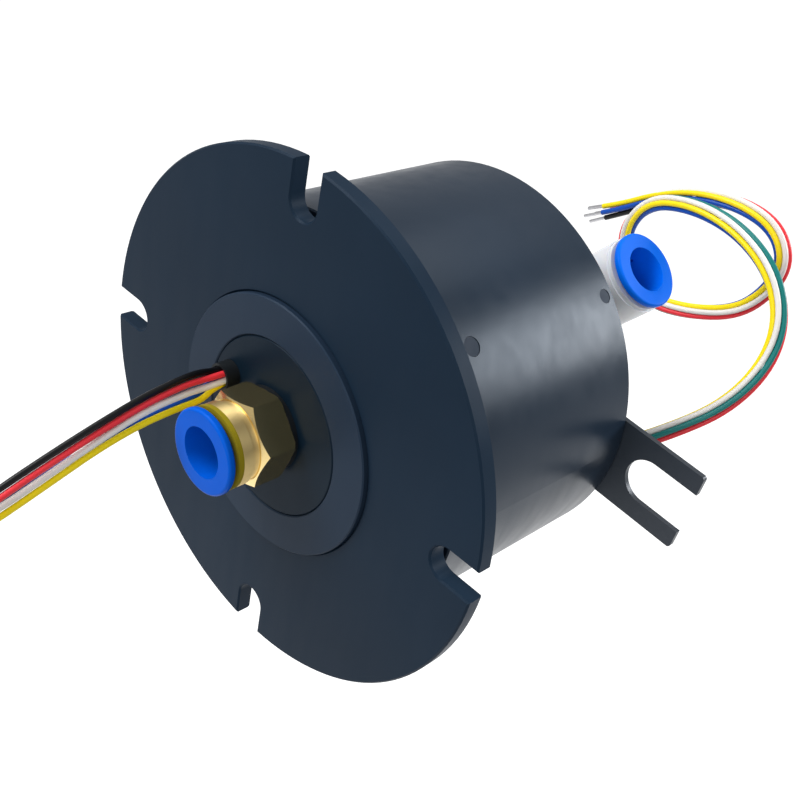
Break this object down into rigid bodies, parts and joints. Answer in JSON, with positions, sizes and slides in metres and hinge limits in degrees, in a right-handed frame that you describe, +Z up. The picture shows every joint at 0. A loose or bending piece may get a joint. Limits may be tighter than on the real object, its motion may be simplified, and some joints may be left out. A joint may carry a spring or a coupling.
{
  "type": "rotary union",
  "caption": "Rotary union for air and electric signals: slotted round flange, black housing, push-in tube ports front and rear, wire leads.",
  "frame": {"origin": "centre of the mounting flange's front face, on the axis of rotation", "axes": "-Y points out of the flange face along the axis of rotation, +Y towards the housing and the rear port, +Z up through a flange slot, +X right seen from the front"},
  "size_m": [0.1168, 0.2155, 0.1126],
  "materials": {
    "flange_anodise": "black anodised, satin",
    "hub_anodise": "black anodised, fine turned lines",
    "spindle_anodise": "black anodised, fine turned lines",
    "housing_anodise": "black anodised, satin",
    "cover_anodise": "black anodised, satin",
    "seal_housing_anodise": "black anodised, satin",
    "fork_steel": "black oxide on sheet steel",
    "black_screw_steel": "black oxide",
    "pin_steel": "dark burnished",
    "tinned_copper": "tinned strands",
    "spring_steel": "bright spring steel",
    "bearing_steel": "ground",
    "guide_plastic": "natural",
    "cage_plastic": "natural",
    "insulator_plastic": "black moulding",
    "ring_brass": "turned",
    "brush_brass": "drawn strip",
    "fitting_brass": "turned and milled",
    "black_rubber": "matt",
    "yellow_ring": "moulded",
    "front_collet_blue": "moulded, satin",
    "rear_collet_blue": "moulded, satin",
    "elbow_white": "moulded",
    "elbow_pale_ring": "moulded",
    "stem_nickel": "nickel plated brass",
    "coil_wires": "insulated wires side by side",
    "tie_plastic": "moulded strap",
    "wire_black": "extruded insulation",
    "wire_red": "extruded insulation",
    "wire_white": "extruded insulation",
    "wire_blue": "extruded insulation",
    "wire_yellow": "extruded insulation",
    "wire_green": "extruded insulation"
  },
  "bodies": {
    "rotor": {"air_spindle": "spindle_anodise", "front_bearing_balls": "bearing_steel", "front_bearing_cage": "cage_plastic", "front_bearing_inner_ring": "bearing_steel", "front_fitting_body": "fitting_brass", "front_fitting_clamp_ring": "yellow_ring", "front_fitting_gripper": "spring_steel", "front_fitting_tube_seal": "black_rubber", "front_fitting_washer": "black_rubber", "front_lead_coil": "coil_wires", "front_lead_sleeve": "black_rubber", "front_lead_tie": "tie_plastic", "front_wire_black": "wire_black", "front_wire_blue": "wire_blue", "front_wire_green": "wire_green", "front_wire_red": "wire_red", "front_wire_white": "wire_white", "front_wire_yellow": "wire_yellow", "hub_circlip": "spring_steel", "hub_screws": "black_screw_steel", "insulating_sleeve": "insulator_plastic", "mounting_flange": "flange_anodise", "rear_bearing_balls": "bearing_steel", "rear_bearing_cage": "cage_plastic", "rear_bearing_inner_ring": "bearing_steel", "rotor_hub": "hub_anodise", "slip_rings": "ring_brass", "spindle_circlip": "spring_steel", "spindle_guide": "guide_plastic"},
    "housing": {"housing_tube": "housing_anodise", "front_cover": "cover_anodise", "rear_cover": "cover_anodise", "front_cover_pins": "pin_steel", "rear_cover_pins": "pin_steel", "front_bearing_outer_ring": "bearing_steel", "rear_bearing_outer_ring": "bearing_steel", "brush_block": "insulator_plastic", "brushes": "brush_brass", "anti_rotation_fork": "fork_steel", "fork_screws": "black_screw_steel", "seal_housing": "seal_housing_anodise", "seal_housing_screws": "black_screw_steel", "rotary_seal_1": "black_rubber", "rotary_seal_2": "black_rubber", "elbow_stem": "stem_nickel", "elbow_stem_seal": "black_rubber", "rear_lead_sleeve": "black_rubber", "rear_wire_black": "wire_black", "rear_wire_blue": "wire_blue", "rear_wire_green": "wire_green", "rear_wire_red": "wire_red", "rear_wire_tips": "tinned_copper", "rear_wire_white": "wire_white", "rear_wire_yellow": "wire_yellow"},
    "elbow": {"elbow_body": "elbow_white", "elbow_clamp_ring": "elbow_pale_ring", "elbow_gripper": "spring_steel", "elbow_tube_seal": "black_rubber"},
    "front_collet": {"front_release_collet": "front_collet_blue"},
    "rear_collet": {"elbow_release_collet": "rear_collet_blue"}
  },
  "joints": [
    {"name": "housing_spin", "type": "hinge", "parent": "rotor", "child": "housing", "pos_m": [0, 0.03, 0], "axis": [0, 1, 0], "continuous": true},
    {"name": "elbow_swivel", "type": "hinge", "parent": "housing", "child": "elbow", "pos_m": [0, 0.084, 0], "axis": [0, 1, 0], "continuous": true},
    {"name": "front_collet_push", "type": "slide", "parent": "rotor", "child": "front_collet", "axis": [0, 1, 0], "range_m": [0, 0.0008], "stiffness_N_per_m": 2000},
    {"name": "rear_collet_push", "type": "slide", "parent": "elbow", "child": "rear_collet", "axis": [-0.6561, 0, -0.7547], "range_m": [0, 0.0008], "stiffness_N_per_m": 2000}
  ]
}
